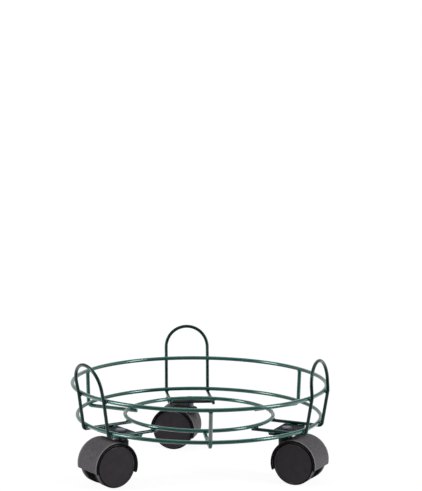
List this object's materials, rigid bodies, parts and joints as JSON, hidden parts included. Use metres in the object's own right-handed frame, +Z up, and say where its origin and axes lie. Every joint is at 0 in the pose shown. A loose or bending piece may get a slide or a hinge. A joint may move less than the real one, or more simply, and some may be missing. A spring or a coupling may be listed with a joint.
{
  "type": "rolling plant caddy",
  "caption": "Round wire plant caddy: green rings with arched wire guards and a welded base, rolling on hooded twin-wheel swivel casters.",
  "frame": {"origin": "on the axis of the rings at floor level, where the wheels stand", "axes": "+Z up along the axis of the rings; -Y towards the front, with the arches at 60, 180 and 300 degrees from it and the front upright 1.1 degrees round; +X to the right seen from the front"},
  "size_m": [0.3048, 0.3157, 0.1465],
  "materials": {
    "green_wire": "satin",
    "dark_plate": "satin",
    "hood_plastic": "matte",
    "wheel_plastic": "satin",
    "zinc_steel": "satin"
  },
  "bodies": {
    "frame": {"lower_ring": "green_wire", "upper_ring": "green_wire", "inner_ring": "green_wire", "arch_left": "green_wire", "arch_right": "green_wire", "arch_rear": "green_wire", "upright_front": "green_wire", "upright_right": "green_wire", "upright_left": "green_wire", "plate_left": "dark_plate", "plate_right": "dark_plate", "plate_rear": "dark_plate", "stem_left": "zinc_steel", "stem_right": "zinc_steel", "stem_rear": "zinc_steel", "stem_clip_left": "zinc_steel", "stem_clip_right": "zinc_steel", "stem_clip_rear": "zinc_steel"},
    "caster_left": {"hood_left": "hood_plastic", "axle_left": "zinc_steel"},
    "wheel_left_a": {"wheel_left_a": "wheel_plastic"},
    "wheel_left_b": {"wheel_left_b": "wheel_plastic"},
    "caster_right": {"hood_right": "hood_plastic", "axle_right": "zinc_steel"},
    "wheel_right_a": {"wheel_right_a": "wheel_plastic"},
    "wheel_right_b": {"wheel_right_b": "wheel_plastic"},
    "caster_rear": {"hood_rear": "hood_plastic", "axle_rear": "zinc_steel"},
    "wheel_rear_a": {"wheel_rear_a": "wheel_plastic"},
    "wheel_rear_b": {"wheel_rear_b": "wheel_plastic"}
  },
  "joints": [
    {"name": "swivel_left", "type": "hinge", "parent": "frame", "child": "caster_left", "pos_m": [-0.09699, -0.056, 0.045], "axis": [0, 0, 1], "continuous": true},
    {"name": "spin_left_a", "type": "hinge", "parent": "caster_left", "child": "wheel_left_a", "pos_m": [-0.112, -0.06398, 0.025], "axis": [0.4695, -0.8829, 0], "continuous": true},
    {"name": "spin_left_b", "type": "hinge", "parent": "caster_left", "child": "wheel_left_b", "pos_m": [-0.112, -0.06398, 0.025], "axis": [0.4695, -0.8829, 0], "continuous": true},
    {"name": "swivel_right", "type": "hinge", "parent": "frame", "child": "caster_right", "pos_m": [0.09699, -0.056, 0.045], "axis": [0, 0, 1], "continuous": true},
    {"name": "spin_right_a", "type": "hinge", "parent": "caster_right", "child": "wheel_right_a", "pos_m": [0.11141, -0.06501, 0.025], "axis": [0.5299, 0.848, 0], "continuous": true},
    {"name": "spin_right_b", "type": "hinge", "parent": "caster_right", "child": "wheel_right_b", "pos_m": [0.11141, -0.06501, 0.025], "axis": [0.5299, 0.848, 0], "continuous": true},
    {"name": "swivel_rear", "type": "hinge", "parent": "frame", "child": "caster_rear", "pos_m": [0, 0.112, 0.045], "axis": [0, 0, 1], "continuous": true},
    {"name": "spin_rear_a", "type": "hinge", "parent": "caster_rear", "child": "wheel_rear_a", "pos_m": [-0.01617, 0.11725, 0.025], "axis": [-0.309, -0.9511, 0], "continuous": true},
    {"name": "spin_rear_b", "type": "hinge", "parent": "caster_rear", "child": "wheel_rear_b", "pos_m": [-0.01617, 0.11725, 0.025], "axis": [-0.309, -0.9511, 0], "continuous": true}
  ]
}
